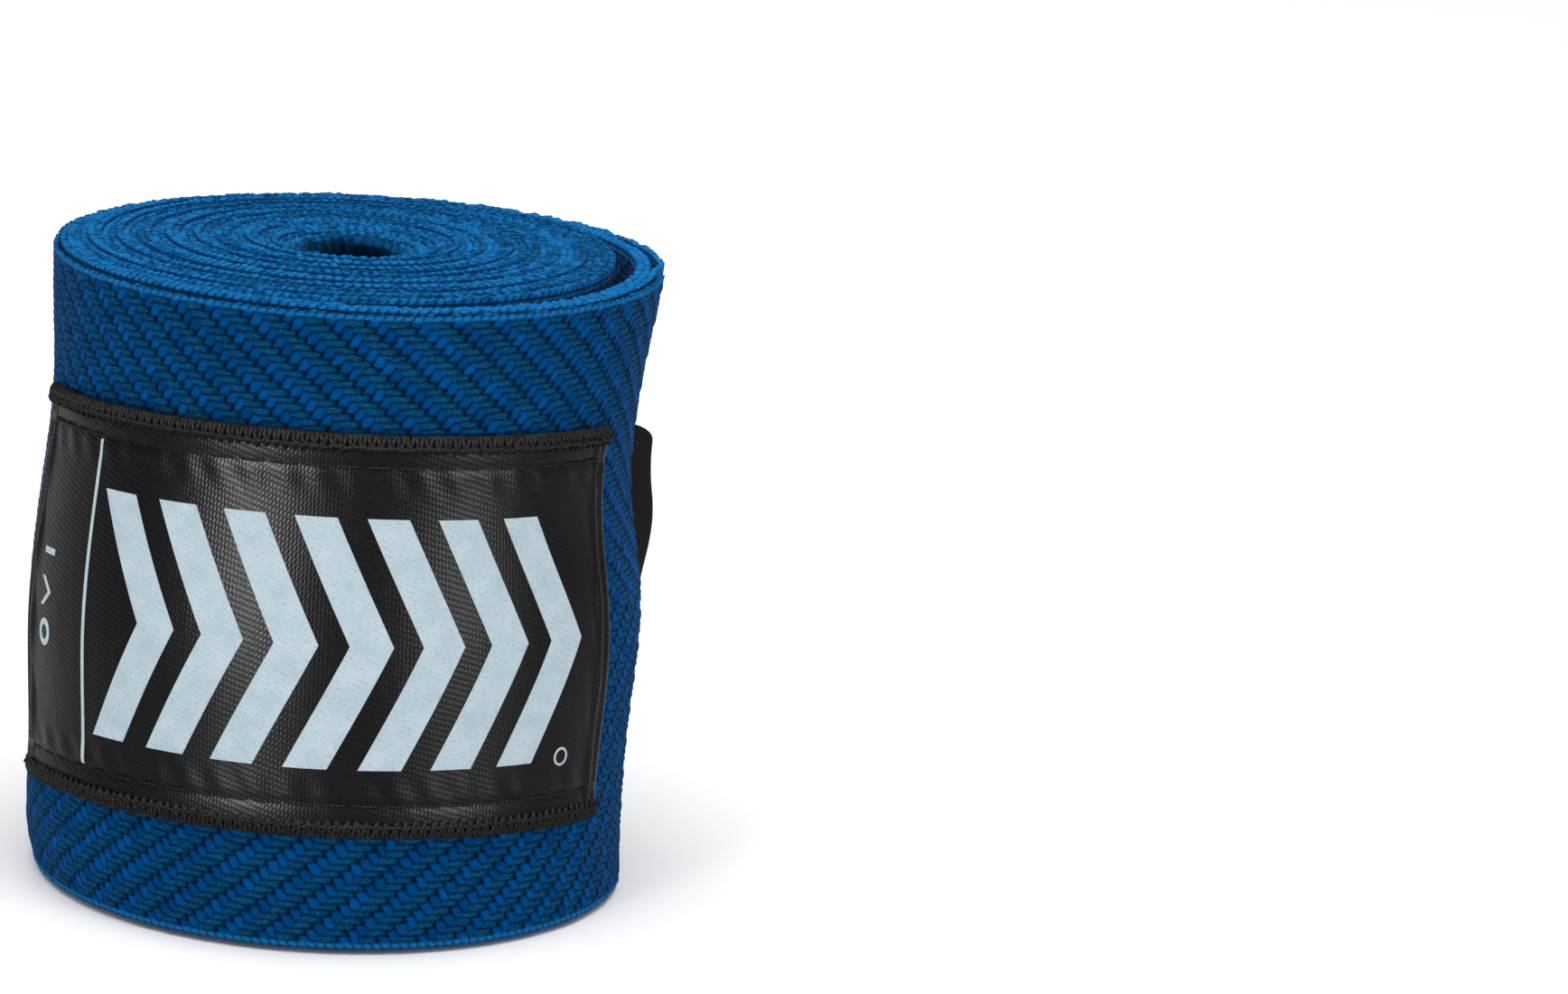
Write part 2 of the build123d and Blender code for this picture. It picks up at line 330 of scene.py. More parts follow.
def tubes(name, paths, radius, material, sides=6):
    """Round threads along paths given in millimetres, with closed ends, joined in one mesh."""
    points, faces, ends, uvs, base = [], [], [], [], 0
    turn = np.arange(sides) * 2 * math.pi / sides
    for path in paths:
        path = np.asarray(path, float)
        tangent = np.gradient(path, axis=0)
        tangent /= np.linalg.norm(tangent, axis=1)[:, None]
        hint = SKEW if abs(tangent[0] @ SKEW) < 0.9 else np.array([1.0, 0, 0])
        normals = []
        for t in tangent:
            hint = hint - t * (hint @ t)
            hint /= np.linalg.norm(hint)
            normals.append(hint)
        normals = np.array(normals)
        sideways = np.cross(tangent, normals)
        taper = np.ones(len(path))
        taper[0] = taper[-1] = 0.55
        ring = path[:, None, :] + radius * taper[:, None, None] * (
            np.cos(turn)[None, :, None] * normals[:, None, :]
            + np.sin(turn)[None, :, None] * sideways[:, None, :]
        )
        count = len(path)
        points.append(ring.reshape(-1, 3))
        faces.append(ring_faces(count, sides) + base)
        ends.append(list(range(base + sides - 1, base - 1, -1)))
        ends.append(list(range(base + (count - 1) * sides, base + count * sides)))
        run = np.concatenate([[0], np.cumsum(np.linalg.norm(np.diff(path, axis=0), axis=1))])
        round_it = (turn / (2 * math.pi))[None, :]
        uvs.append(np.stack(np.broadcast_arrays(run[:, None], round_it), -1).reshape(-1, 2))
        base += count * sides
    points, faces, uvs = np.concatenate(points), np.concatenate(faces), np.concatenate(uvs)
    return mesh_object(name, points, faces, material, uvs, ends)


def slab(name, top, bottom, material, uv):
    """A closed thin plate between two grids of points, both (rows, columns, 3)."""
    rows, columns = top.shape[:2]
    count = rows * columns
    i, j = np.meshgrid(np.arange(rows - 1), np.arange(columns - 1), indexing="ij")
    a = i * columns + j
    quad = np.stack([a, a + 1, a + columns + 1, a + columns], -1).reshape(-1, 4)
    faces = [quad, (quad + count)[:, ::-1]]
    loop = np.concatenate([
        np.arange(columns - 1),
        np.arange(rows - 1) * columns + columns - 1,
        (rows - 1) * columns + np.arange(columns - 1, 0, -1),
        np.arange(rows - 1, 0, -1) * columns,
    ])
    after = np.roll(loop, -1)
    faces.append(np.stack([loop, loop + count, after + count, after], -1))
    points = np.concatenate([top.reshape(-1, 3), bottom.reshape(-1, 3)])
    uvs = np.concatenate([uv.reshape(-1, 2)] * 2)
    plate = mesh_object(name, points, np.concatenate(faces)[:, ::-1], material, uvs)
    rim = np.zeros(2 * count, bool)
    rim[loop] = rim[loop + count] = True
    mark_sharp(plate, lambda a, b: rim[a] & rim[b])
    return plate


def tab_point(angle, z, radius):
    """Points on or over the tab, by angle about its centre, height and radius."""
    angle, z, radius = np.broadcast_arrays(*(np.asarray(x, float) for x in (angle, z, radius)))
    flat = tab_centre + toward(angle) * radius[..., None]
    return settle(np.concatenate([flat, z[..., None]], -1))


# Where the tab is cut into pieces: cuts lie midway between the fold lines --------------

CUTS = [-118.0, -74.0, -30.0, 14.0, HOOK_END + 1]


def bend(piece):
    """Bakes the piece's placement into its mesh; it is tied to no body on either side of its fold line."""
    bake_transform(piece)


def fold_of(angle):
    """The number of the fold line that a place on the tab belongs to."""
    return int(np.clip(np.searchsorted(CUTS, angle, side="right") - 1, 0, 3))


# Materials -----------------------------------------------------------------------------------------


class Nodes:
    """Short ways to build a material's nodes."""

    def __init__(self, name):
        self.material = bpy.data.materials.new(name)
        self.material.use_nodes = True
        self.tree = self.material.node_tree
        self.shader = self.tree.nodes["Principled BSDF"]

    def put(self, socket, value):
        if isinstance(value, bpy.types.NodeSocket):
            self.tree.links.new(value, socket)
        else:
            socket.default_value = value

    def node(self, kind, **values):
        made = self.tree.nodes.new(kind)
        for key, value in values.items():
            setattr(made, key, value)
        return made

    def math(self, operation, a, b=0.0, c=0.0):
        made = self.node("ShaderNodeMath", operation=operation)
        for socket, value in zip(made.inputs, (a, b, c)):
            self.put(socket, value)
        return made.outputs[0]

    def uv(self, layer="Cloth"):
        split = self.node("ShaderNodeSeparateXYZ")
        self.put(split.inputs[0], self.node("ShaderNodeUVMap", uv_map=layer).outputs[0])
        return split.outputs[0], split.outputs[1]

    def position(self):
        return self.node("ShaderNodeTexCoord").outputs["Object"]

    def joined(self, x, y, z=0.0):
        made = self.node("ShaderNodeCombineXYZ")
        for socket, value in zip(made.inputs, (x, y, z)):
            self.put(socket, value)
        return made.outputs[0]

    def noise(self, vector, scale, detail=2.0, roughness=0.5):
        made = self.node("ShaderNodeTexNoise")
        self.put(made.inputs["Vector"], vector)
        made.inputs["Scale"].default_value = scale
        made.inputs["Detail"].default_value = detail
        made.inputs["Roughness"].default_value = roughness
        return made.outputs["Fac"]

    def speckle(self, vector):
        made = self.node("ShaderNodeTexWhiteNoise", noise_dimensions="3D")
        self.put(made.inputs["Vector"], vector)
        return made.outputs["Value"]

    def between(self, value, low, high, new_low=0.0, new_high=1.0):
        made = self.node("ShaderNodeMapRange")
        keys = ("From Min", "From Max", "To Min", "To Max")
        for key, number in zip(keys, (low, high, new_low, new_high)):
            made.inputs[key].default_value = number
        self.put(made.inputs["Value"], value)
        return made.outputs["Result"]

    def mix(self, share, a, b, blend="MIX"):
        made = self.node("ShaderNodeMix", data_type="RGBA", blend_type=blend)
        self.put(made.inputs["Factor"], share)
        self.put(made.inputs["A"], a)
        self.put(made.inputs["B"], b)
        return made.outputs["Result"]

    def along_cloth(self):
        """The cloth's lengthwise direction, for a sheen that runs across it."""
        return self.node("ShaderNodeTangent", direction_type="UV_MAP", uv_map="Cloth").outputs[0]

    def grey(self, value):
        made = self.node("ShaderNodeCombineColor")
        for socket in made.inputs:
            self.put(socket, value)
        return made.outputs[0]

    def node_value(self, colour):
        """A colour's brightness as a single number."""
        made = self.node("ShaderNodeSeparateColor")
        self.put(made.inputs[0], colour)
        return made.outputs[0]

    def finish(self, colour, height=None, depth=0.1, roughness=0.8, **more):
        """Links the colour and the relief, depth millimetres deep. more sets the shader's other sockets."""
        self.put(self.shader.inputs["Base Color"], colour)
        self.put(self.shader.inputs["Roughness"], roughness)
        if height is not None:
            relief = self.node("ShaderNodeBump")
            relief.inputs["Strength"].default_value = 1.0
            relief.inputs["Distance"].default_value = depth * MM
            self.put(relief.inputs["Height"], height)
            self.put(self.shader.inputs["Normal"], relief.outputs[0])
        for key, value in more.items():
            self.shader.inputs[key.replace("_", " ")].default_value = value
        return self.material


def cotton_material():
    """Blue herringbone twill: dull lengthwise yarns, brighter crosswise ones, and a bright selvedge."""
    n = Nodes("strip_cotton")
    u, v = n.uv()

    def add(a, b):
        return n.math("ADD", a, b)

    def times(a, b):
        return n.math("MULTIPLY", a, b)

    def dome(x):
        return n.math("SQRT", times(times(x, n.math("SUBTRACT", 1.0, x)), 4.0))

    def arch(x):
        inside = n.math("MINIMUM", n.math("MAXIMUM", x, 0.0), 1.0)
        return n.math("SQRT", n.math("MAXIMUM", n.math("SINE", times(inside, math.pi)), 0.0))

    def wrap(x):
        return add(n.math("FLOORED_MODULO", add(x, REPEAT / 2), float(REPEAT)), -REPEAT / 2)

    # The yarns wander a little.
    drift = add(times(n.noise(n.joined(u, times(v, 0.5)), 0.55, 3.0, 0.65), 1.1), -0.55)
    sag = add(times(n.noise(n.joined(times(u, 0.5), add(v, 60.0)), 0.6, 3.0, 0.65), 0.9), -0.45)
    wobble = add(times(n.noise(n.joined(u, v, 9.0), 1.7, 2.0, 0.6), 0.5), -0.25)
    u, w = add(add(u, drift), wobble), n.math("ABSOLUTE", add(add(v, sag), wobble))
    twill = wrap(add(add(u, w), 0.5 - REPEAT))
    leaned = n.math("SUBTRACT", u, times(twill, LEAN / (1 + LEAN)))
    i, fu = n.math("FLOOR", leaned), n.math("FRACT", leaned)
    j, fw = n.math("FLOOR", w), n.math("FRACT", w)
    weft_along = times(add(n.math("FLOORED_MODULO", add(w, i), float(REPEAT)), -WARP_OVER), 1 / WEFT_OVER)
    weft = times(dome(fu), arch(weft_along))
    warp_offset = add(add(u, j), 0.5 - WARP_OVER / 2)
    warp = times(times(dome(fw), arch(add(times(wrap(warp_offset), 1 / (WARP_OVER * 0.95)), 0.5))), 0.88)
    weft_on_top = n.math("GREATER_THAN", weft, warp)
    weave = n.math("MAXIMUM", weft, warp)

    warp_float = n.math("FLOOR", times(add(warp_offset, REPEAT / 2), 1 / REPEAT))
    weft_float = n.math("FLOOR", times(add(w, i), 1 / REPEAT))
    warp_tint = n.speckle(n.joined(j, warp_float, 1.0))
    weft_tint = n.speckle(n.joined(i, weft_float, 2.0))
    tint = n.node_value(n.mix(weft_on_top, warp_tint, weft_tint))
    warp_fibres = n.noise(n.joined(times(u, 1.6), times(add(v, times(u, 0.12)), 7.0)), 1.0, 3.0, 0.65)
    weft_fibres = n.noise(n.joined(times(add(u, times(v, -0.20)), 7.0), times(v, 1.6)), 1.0, 3.0, 0.65)
    fibres = n.node_value(n.mix(weft_on_top, warp_fibres, weft_fibres))
    fuzz = n.noise(n.joined(u, times(v, 1.6)), 2.6, 4.0, 0.75)
    cloudy = n.noise(n.joined(u, v), 0.045, 3.0, 0.55)

    warp_colour = n.mix(tint, (0.0003, 0.046, 0.120, 1), (0.0003, 0.062, 0.162, 1))
    warp_colour = n.mix(n.between(fuzz, 0.51, 0.68), warp_colour, (0.042, 0.140, 0.225, 1))
    weft_colour = n.mix(tint, (0.0001, 0.048, 0.178, 1), (0.0001, 0.084, 0.315, 1))
    colour = n.mix(weft_on_top, warp_colour, weft_colour)
    colour = n.mix(n.between(cloudy, 0.35, 0.65, 0.0, 0.35), colour, (0.0004, 0.046, 0.155, 1))
    # The selvedge: a bright bound edge with a close chain of stitches.
    from_edge = n.math("SUBTRACT", STRIP_WIDTH / 2 / WARP_PITCH, n.math("ABSOLUTE", v))
    selvedge = n.between(from_edge, 2.1, 1.5)
    run = n.uv()[0]
    slant = times(add(times(run, WEFT_PITCH / SELVEDGE_STITCH), times(from_edge, 0.35)), math.pi)
    chain = n.math("ABSOLUTE", n.math("SINE", slant))
    rows = n.math("ABSOLUTE", n.math("SINE", times(from_edge, math.pi / 1.05)))
    knots = times(add(chain, 0.25), add(rows, 0.35))
    height = n.node_value(n.mix(selvedge, weave, times(knots, 0.65)))
    colour = n.mix(selvedge, colour, n.mix(fuzz, (0.0030, 0.105, 0.335, 1), (0.014, 0.230, 0.590, 1)))
    # Painted shade: the colour is darkened where the yarns lie low, in the gaps between them.
    shade = n.between(height, 0.05, 0.78, 0.18, 1.0)
    fine = n.between(fibres, 0.25, 0.75, 0.62, 1.30)
    core = n.between(run, 45.0, 120.0, 0.07, 1.0)     # painted shade: hardly any light gets down between the first turns
    # The painted shade of the gaps and of the first turns, times the fibres' streaks, darkens the colour.
    grey = times(times(shade, fine), core)
    colour = n.mix(1.0, colour, n.grey(grey), "MULTIPLY")
    relief = add(height, times(fibres, 0.40))
    return n.finish(colour, relief, 0.15, n.between(fibres, 0.2, 0.8, 0.75, 0.95), Specular_IOR_Level=0.0,
                    Sheen_Weight=0.05, Sheen_Roughness=0.25)


def satin_material():
    """Black satin: fine lines that slant down to the right, and a smooth sheen."""
    n = Nodes("label_satin")
    u, v = n.uv()
    slant = n.math("ADD", n.math("MULTIPLY", u, math.sin(math.radians(17))),
                   n.math("MULTIPLY", v, math.cos(math.radians(17))))
    lines = n.math("SINE", n.math("MULTIPLY", slant, 2 * math.pi / 0.43))
    shifted = n.math("ADD", u, n.math("MULTIPLY", lines, 0.05))
    ticks = n.math("SINE", n.math("MULTIPLY", shifted, 2 * math.pi / 0.30))
    grain = n.noise(n.joined(n.math("MULTIPLY", u, 3.0), v), 2.0, 3.0, 0.6)
    ripple = n.noise(n.joined(u, n.math("MULTIPLY", v, 0.35)), 0.35, 2.0, 0.5)
    height = n.math("ADD", n.math("ADD", n.math("MULTIPLY", lines, 0.24), n.math("MULTIPLY", ticks, 0.16)),
                    n.math("ADD", n.math("MULTIPLY", grain, 0.5), n.math("MULTIPLY", ripple, 1.5)))
    n.put(n.shader.inputs["Tangent"], n.along_cloth())
    colour = n.mix(n.between(lines, -1, 1, 0, 1), (0.0016, 0.0016, 0.0020, 1), (0.0046, 0.0048, 0.0056, 1))
    return n.finish(colour, height, 0.030, n.between(grain, 0.3, 0.7, 0.34, 0.46), Specular_IOR_Level=0.062,
                    Anisotropic=0.7, Anisotropic_Rotation=0.25)


def print_material():
    """Pale screen print, with the satin's grain showing through in specks."""
    n = Nodes("label_print")
    u, v = n.uv()
    slant = n.math("ADD", n.math("MULTIPLY", u, math.sin(math.radians(25))),
                   n.math("MULTIPLY", v, math.cos(math.radians(25))))
    lines = n.math("SINE", n.math("MULTIPLY", slant, 2 * math.pi / 0.43))
    grain = n.noise(n.joined(u, n.math("MULTIPLY", v, 1.9)), 3.4, 2.0, 0.6)
    specks = n.between(n.math("ADD", grain, n.math("MULTIPLY", lines, 0.05)), 0.56, 0.66)
    patches = n.noise(n.joined(u, v), 0.5, 2.0, 0.5)
    colour = n.mix(n.between(patches, 0.3, 0.7), (0.40, 0.505, 0.565, 1), (0.48, 0.58, 0.635, 1))
    colour = n.mix(n.between(specks, 0, 1, 0, 0.55), colour, (0.26, 0.33, 0.37, 1))
    height = n.math("ADD", n.math("MULTIPLY", lines, 0.25), n.math("MULTIPLY", grain, 0.9))
    return n.finish(colour, height, 0.03, 0.75, Specular_IOR_Level=0.08)


def thread_material(name, dark, light):
    """Twisted thread: slanting plies along its length."""
    n = Nodes(name)
    u, v = n.uv()
    slant = n.math("ADD", n.math("MULTIPLY", u, 2.4), n.math("MULTIPLY", v, 2.0))
    twist = n.math("SINE", n.math("MULTIPLY", slant, 2 * math.pi))
    fuzz = n.noise(n.position(), 6000.0, 2.0, 0.6)
    colour = n.mix(n.between(twist, -1, 1), dark, light)
    colour = n.mix(n.between(fuzz, 0.3, 0.7, 0, 0.4), colour, light)
    height = n.math("ADD", n.math("MULTIPLY", twist, 0.5), fuzz)
    return n.finish(colour, height, 0.05, 0.6, Specular_IOR_Level=0.05)


def tape_material(name, dark, light):
    """Narrow woven tape: a plain weave, seen as small squares."""
    n = Nodes(name)
    u, v = n.uv()
    checks = n.math("MULTIPLY", n.math("SINE", n.math("MULTIPLY", u, 2 * math.pi / 0.44)),
                    n.math("SINE", n.math("MULTIPLY", v, 2 * math.pi / 0.36)))
    fuzz = n.noise(n.position(), 4000.0, 3.0, 0.6)
    colour = n.mix(n.between(checks, -1, 1), dark, light)
    colour = n.mix(n.between(fuzz, 0.3, 0.7, 0, 0.5), colour, dark)
    return n.finish(colour, n.math("ADD", checks, fuzz), 0.04, 0.8, Specular_IOR_Level=0.04)


COTTON = cotton_material()
SATIN = satin_material()
PRINT = print_material()
OVERLOCK = thread_material("overlock_thread", (0.0013, 0.0012, 0.0012, 1), (0.0115, 0.0100, 0.0098, 1))
SEWING = thread_material("sewing_thread", (0.001, 0.001, 0.0012, 1), (0.006, 0.006, 0.0065, 1))
HOOK = tape_material("hook_tape", (0.002, 0.002, 0.003, 1), (0.010, 0.010, 0.012, 1))
LOOP = tape_material("loop_tape", (0.004, 0.004, 0.005, 1), (0.022, 0.022, 0.024, 1))
THUMB = tape_material("thumb_loop_tape", (0.004, 0.050, 0.160, 1), (0.006, 0.120, 0.400, 1))

# The strip -----------------------------------------------------------------------------------------

OUTER_TURNS = 400.0      # degrees of winding on the outside of the roll that get a full face
INNER_STEP, OUTER_STEP, TAB_STEP = 0.18, 0.25, 0.16
OUTER_COLUMNS, TAB_COLUMNS = 204, 300


def edge_heights(winding):
    """The strip's lower and upper edge as it is wound: it wanders, and the last turns sit lower."""
    wander = turn_height(winding)
    last = smooth((np.asarray(winding) - (WOUND - 360 * LOOSE_TURNS - 60)) / 120)
    frayed = 0.5 * bump(winding, 40, 60) * (1 + 0.6 * roughly(winding, 9.0, 21))
    upper = STRIP_WIDTH - 0.40 - 0.12 * last + (0.55 - 0.25 * last) * wander + frayed
    return 0.30 * wander, upper


def make_strip():
    first_cut = WOUND + CUTS[0] - TAB_START

    inner_count = int(spiral(WOUND - OUTER_TURNS)[3] / INNER_STEP)
    # Even steps of length: the winding that gives each length, read back from a fine table.
    table = np.linspace(0, WOUND - OUTER_TURNS, 40000)
    lengths = spiral(table)[3]
    winding = np.interp(np.linspace(0, lengths[-1], inner_count), lengths, table)
    low, high = edge_heights(winding)
    rings, uv = strip_rings(winding, low, high, 4, 0.0, 0.0, TURN_PITCH)
    core = closed_band("wound_turns", rings, COTTON, uv)
    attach(core, "roll")

    winding = steps(WOUND - OUTER_TURNS, first_cut, OUTER_STEP, last_radius)
    low, high = edge_heights(winding)
    rings, uv = strip_rings(winding, low, high, OUTER_COLUMNS, 0.10, 0.0)
    outer = closed_band("outer_turn", rings, COTTON, uv)
    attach(outer, "roll")

    for fold in range(4):
        start = WOUND + CUTS[fold] - TAB_START
        end = min(WOUND + CUTS[fold + 1] - TAB_START, FULL)
        winding = steps(start, end, TAB_STEP, tab_radius)
        low, high = edge_heights(winding)
        share = smooth((winding - WOUND) / 30 + 0.5)
        low = low * (1 - share) + share * (TAB_LOW + 0.10 + 0.1 * turn_height(winding))
        high = high * (1 - share) + share * (TAB_HIGH - 0.45 + 0.3 * turn_height(winding))
        rings, uv = strip_rings(winding, low, high, TAB_COLUMNS, 0.14, 0.10)
        cloth = closed_band(f"tab_cloth_{fold + 1}", rings, COTTON, uv)
        bend(cloth)

    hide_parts("wound_strip")
    for number in range(4):
        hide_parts(f"strip_tab_{number + 1}")


make_strip()

# The label -----------------------------------------------------------------------------------------

END_DROP = 1.1           # how much lower than its middle the label's ends are sewn on
SEAM_INSET, END_INSET = 2.3, 1.0     # from the label's long edges and from its folded ends
END_HEM = 1.9
MM_PER_DEGREE = math.radians(1) * label_face
LABEL_LENGTH = (LABEL_END - LABEL_START) * MM_PER_DEGREE


def pucker(along, height):
    """Relief of the label in mm: it is drawn down along its seam and ripples a little beside it."""
    from_end = np.minimum(along, LABEL_LENGTH - along)
    from_side = np.minimum(height, LABEL_HIGH - LABEL_LOW - height)
    groove = -0.13 * np.maximum(bump(from_side, SEAM_INSET, 0.35), bump(from_end, END_INSET, 0.28))
    beside = np.maximum(bump(from_side, SEAM_INSET + 1.1, 1.0), bump(from_end, END_INSET + 0.9, 0.8))
    hem = 0.16 * smooth((END_HEM - from_end) / 0.3) - 0.30 * bump(from_end, 0, 0.18)
    ripple = 0.05 * np.sin(2 * math.pi * (along + 0.4 * height) / 2.7) * beside
    slack = 0.08 * np.sin(along * 0.23 + 1.0) * np.sin(height * 0.17)
    return 0.16 + groove + ripple + slack + hem


def label_grid(start, end):
    along = np.arange(0, (end - start) * MM_PER_DEGREE + 0.12, 0.25) + (start - LABEL_START) * MM_PER_DEGREE
    along[-1] = (end - LABEL_START) * MM_PER_DEGREE
    height = np.linspace(0, LABEL_HIGH - LABEL_LOW, 124)
    return np.meshgrid(along, height, indexing="ij")


def on_label(along, height, proud):
    """Points over the label's face: mm along it from its left end, up from its lower edge, and proud."""
    drop = END_DROP * (2 * along / LABEL_LENGTH - 1) ** 2
    return tab_point(LABEL_START + along / MM_PER_DEGREE, LABEL_LOW + height - drop, label_face + proud)


def make_label():
    for fold in (1, 2, 3):
        start, end = max(CUTS[fold], LABEL_START), min(CUTS[fold + 1], LABEL_END)
        along, height = label_grid(start, end)
        top = on_label(along, height, pucker(along, height))
        bottom = on_label(along, height, -LABEL_THICKNESS)
        label = slab(f"satin_label_{fold}", top, bottom, SATIN, np.stack([along, height], -1))
        bend(label)
    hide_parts("label_1", "label_2")
    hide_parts("label_3")
    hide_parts("label_4")


make_label()

# Thread: the label's overlocked edging and its seam -------------------------------------------------

OVERLOCK_WIDTH = 1.15
OVERLOCK_PITCH = 0.37


def long_edges():
    """The label's lower and upper edge as (start, step, inward) in its flat coordinates."""
    width = LABEL_HIGH - LABEL_LOW
    return [((0.0, 0.0), (1.0, 0.0), (0.0, 1.0)), ((LABEL_LENGTH, width), (-1.0, 0.0), (0.0, -1.0))]


def by_fold(paths, name, radius, material):
    """Makes threads on the label, one mesh for each fold line that they lie near, and returns them."""
    made = {}
    for path in paths:
        middle = LABEL_START + path[:, 0].mean() / MM_PER_DEGREE
        made.setdefault(fold_of(middle), []).append(on_label(path[:, 0], path[:, 1], path[:, 2]))
    out = {}
    for fold, group in sorted(made.items()):
        piece = tubes(f"{name}_{fold}", group, radius, material)
        bend(piece)
        out[fold] = piece
    return out


def make_overlock():
    """Thread over the label's long edges: leaning stitches, knotted in a row and chained along the edge."""
    stitches, knots, chain = [], [], []
    length = LABEL_LENGTH
    for start, step, inward in long_edges():
        start, step, inward = (np.array(x) for x in (start, step, inward))
        count = int(length / OVERLOCK_PITCH)
        for k in range(count):
            at = (k + 0.5) * length / count + chance.uniform(-0.05, 0.05)
            depth = np.array([OVERLOCK_WIDTH, 0.95, 0.65, 0.33, 0.04, -0.15, -0.19])
            depth[:2] += chance.uniform(-0.10, 0.10)
            proud = np.array([0.12, 0.27, 0.32, 0.32, 0.28, 0.14, -0.10]) + chance.uniform(-0.04, 0.04)
            lean = np.linspace(0.28, -0.18, 7) * (1 if k % 2 else -0.35)
            flat = start + step * (at + lean)[:, None] + inward * depth[:, None]
            stitches.append(np.concatenate([flat, proud[:, None]], 1))
            # The knot: a short loop laid across the stitch.
            t = np.linspace(0, 1, 7)
            side = at + 0.30 * np.cos(math.pi * t) + 0.05
            deep = 0.72 + 0.22 * (t - 0.5) + 0.14 * np.sin(2 * math.pi * t)
            deep = deep + chance.uniform(-0.08, 0.08)
            flat = start + step * side[:, None] + inward * deep[:, None]
            rise = 0.34 + 0.16 * np.sin(math.pi * t) + chance.uniform(-0.04, 0.04)
            knots.append(np.concatenate([flat, rise[:, None]], 1))
        # Two threads chained along the very edge.
        for turn in (0.0, math.pi):
            t = np.linspace(0, length, int(length / 0.12))
            wave = 2 * math.pi * t / (2 * OVERLOCK_PITCH) + turn
            flat = start + step * t[:, None] + inward * (-0.10 + 0.12 * np.cos(wave))[:, None]
            path = np.concatenate([flat, (0.08 + 0.18 * np.sin(wave))[:, None]], 1)
            for fold in (1, 2, 3):
                low = (CUTS[fold] - LABEL_START) * MM_PER_DEGREE
                high = (CUTS[fold + 1] - LABEL_START) * MM_PER_DEGREE
                inside = (path[:, 0] >= low - (1 if fold == 1 else 0)) & (path[:, 0] < high)
                if inside.sum() > 3:
                    chain.append(path[inside])
    cross = by_fold(stitches, "overlock_stitches", 0.18, OVERLOCK)
    by_fold(knots, "overlock_knots", 0.12, OVERLOCK)
    by_fold(chain, "overlock_chain", 0.14, OVERLOCK)
    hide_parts("overlock_thread_1", "overlock_thread_2")
    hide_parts("overlock_thread_3")
    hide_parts("overlock_thread_4")


def make_seam():
    paths = []
    width, length, inset = LABEL_HIGH - LABEL_LOW, LABEL_LENGTH, SEAM_INSET
    end = END_INSET
    corners = np.array([
        (end, inset),
        (length - end, inset),
        (length - end, width - inset),
        (end, width - inset),
        (end, inset),
    ])
    for a, b in zip(corners[:-1], corners[1:]):
        run = np.linalg.norm(b - a)
        count = int(run / 2.4)
        for k in range(count):
            t = np.linspace((k + 0.08) / count, (k + 0.92) / count, 9)
            flat = a + (b - a) * t[:, None]
            rise = 0.07 * np.sin(np.linspace(0, math.pi, 9)) + 0.02
            paths.append(np.concatenate([flat, rise[:, None]], 1))
    seams = by_fold(paths, "label_seam", 0.11, SEWING)
    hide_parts("label_stitching_1", "label_stitching_2")
    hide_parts("label_stitching_3")
    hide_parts("label_stitching_4")


make_overlock()
make_seam()

# The print: a rule, three small marks and a row of chevrons -----------------------------------------

PRINT_PROUD = 0.035
MARK_LOW, MARK_HIGH = 5.2, 24.6          # above the label's lower edge
CHEVRONS = 7
CHEVRON_PITCH, CHEVRON_STROKE, CHEVRON_DEPTH = 5.6, 3.3, 4.6
MARK_START = (-46.5 - LABEL_START) * MM_PER_DEGREE
RULE_AT = (-49.5 - LABEL_START) * MM_PER_DEGREE
RULE_WIDTH, RULE_LENGTH = 0.35, 25.6
SMALL_MARKS = 3.4                        # where the small marks start, in mm from the label's left end


def printed(name, along, height):
    """A film of ink over the label, from grids of its flat coordinates."""
    lift = pucker(along, height)
    top = on_label(along, height, lift + PRINT_PROUD)
    bottom = on_label(along, height, lift - 0.02)
    piece = slab(name, top, bottom, PRINT, np.stack([along, height], -1))
    bend(piece)
    return piece


def grid(columns, rows):
    return np.meshgrid(np.linspace(0, 1, columns), np.linspace(0, 1, rows), indexing="ij")


def chevron(name, left, low, tall, stroke, depth, rows=49):
    across, up = grid(10, rows)
    return printed(name, left + stroke * across + depth * (1 - np.abs(2 * up - 1)), low + tall * up)


def ring(name, middle, wide, tall, stroke):
    across, round_it = grid(4, 33)
    turn = -2 * math.pi * round_it
    share = 1 - stroke * across
    along = middle[0] + wide / 2 * share * np.cos(turn)
    return printed(name, along, middle[1] + tall / 2 * share * np.sin(turn))


def bar(name, left, low, wide, tall, columns=5, rows=5):
    across, up = grid(columns, rows)
    return printed(name, left + wide * across, low + tall * up)


def make_print():
    low = (LABEL_HIGH - LABEL_LOW - RULE_LENGTH) / 2
    rule = bar("label_rule", RULE_AT - RULE_WIDTH / 2, low, RULE_WIDTH, RULE_LENGTH, 3, 100)
    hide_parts("printed_rule")
    bar("small_bar", SMALL_MARKS, 18.2, 1.9, 0.5)
    chevron("small_chevron", SMALL_MARKS, 14.1, 2.3, 0.55, 1.3, 17)
    ring("small_ring", (SMALL_MARKS + 0.95, 12.0), 1.9, 2.2, 0.45)
    ring("end_ring", (MARK_START + CHEVRONS * CHEVRON_PITCH + 0.9, MARK_LOW + 0.2), 1.5, 1.5, 0.25)
    for k in range(CHEVRONS):
        chevron(f"chevron_{k + 1}", MARK_START + k * CHEVRON_PITCH, MARK_LOW, MARK_HIGH - MARK_LOW,
                CHEVRON_STROKE, CHEVRON_DEPTH)


make_print()

# The tapes: hooks under the tab's end, pile on the roll, and the thumb loop in the core ---------------

HOOK_BASE, HOOK_PITCH, HOOK_REACH = 0.30, 1.25, 0.20
LOOP_BASE = 0.22


def tape_uv(angle, z, radius):
    return np.stack(np.broadcast_arrays(np.radians(angle) * radius, z), -1)


